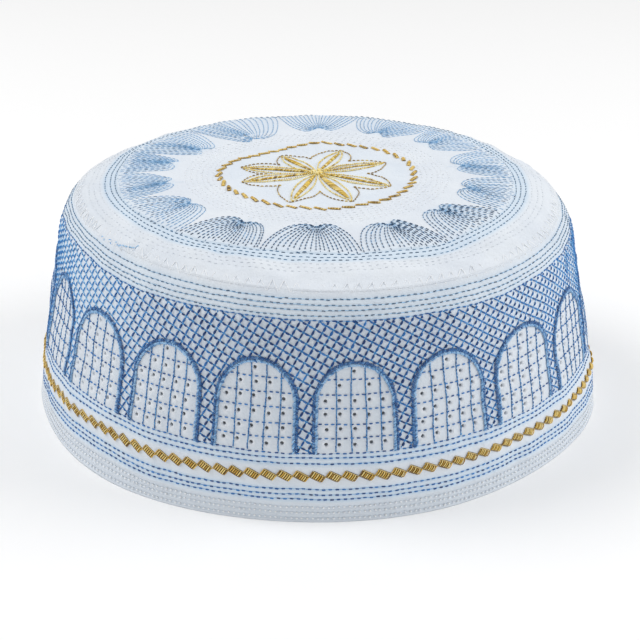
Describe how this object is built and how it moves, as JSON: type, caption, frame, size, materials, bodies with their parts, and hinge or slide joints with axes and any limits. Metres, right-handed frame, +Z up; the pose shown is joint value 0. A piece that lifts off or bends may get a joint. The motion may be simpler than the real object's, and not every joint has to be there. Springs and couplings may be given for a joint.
{
  "type": "prayer cap",
  "caption": "Round quilted cotton cap with a straight wall, a low domed crown and open rim, embroidered with arched windows, gold braid and a gold flower.",
  "frame": {"origin": "middle of the rim's outline, on the surface that the rim stands on", "axes": "+Z up through the crown, -Y towards the front of the cap, +X towards its left-hand side as worn"},
  "size_m": [0.1962, 0.1874, 0.0825],
  "materials": {
    "side_wall": "matt quilted cotton, cool white",
    "crown_panel": "matt quilted cotton, cool white",
    "arch_trim": "satin-stitched blue thread",
    "gold_braid": "satin-stitched golden thread",
    "gold_ring": "satin-stitched golden thread",
    "gold_flower": "satin-stitched golden thread"
  },
  "bodies": {
    "root": {"side_wall": "side_wall", "crown_panel": "crown_panel", "arch_trim_01": "arch_trim", "arch_trim_02": "arch_trim", "arch_trim_03": "arch_trim", "arch_trim_04": "arch_trim", "arch_trim_05": "arch_trim", "arch_trim_06": "arch_trim", "arch_trim_07": "arch_trim", "arch_trim_08": "arch_trim", "arch_trim_09": "arch_trim", "arch_trim_10": "arch_trim", "arch_trim_11": "arch_trim", "arch_trim_12": "arch_trim", "arch_trim_13": "arch_trim", "arch_trim_14": "arch_trim", "arch_trim_15": "arch_trim", "arch_trim_16": "arch_trim", "arch_trim_17": "arch_trim", "arch_trim_18": "arch_trim", "gold_braid": "gold_braid", "gold_ring": "gold_ring", "gold_flower": "gold_flower"}
  },
  "joints": []
}
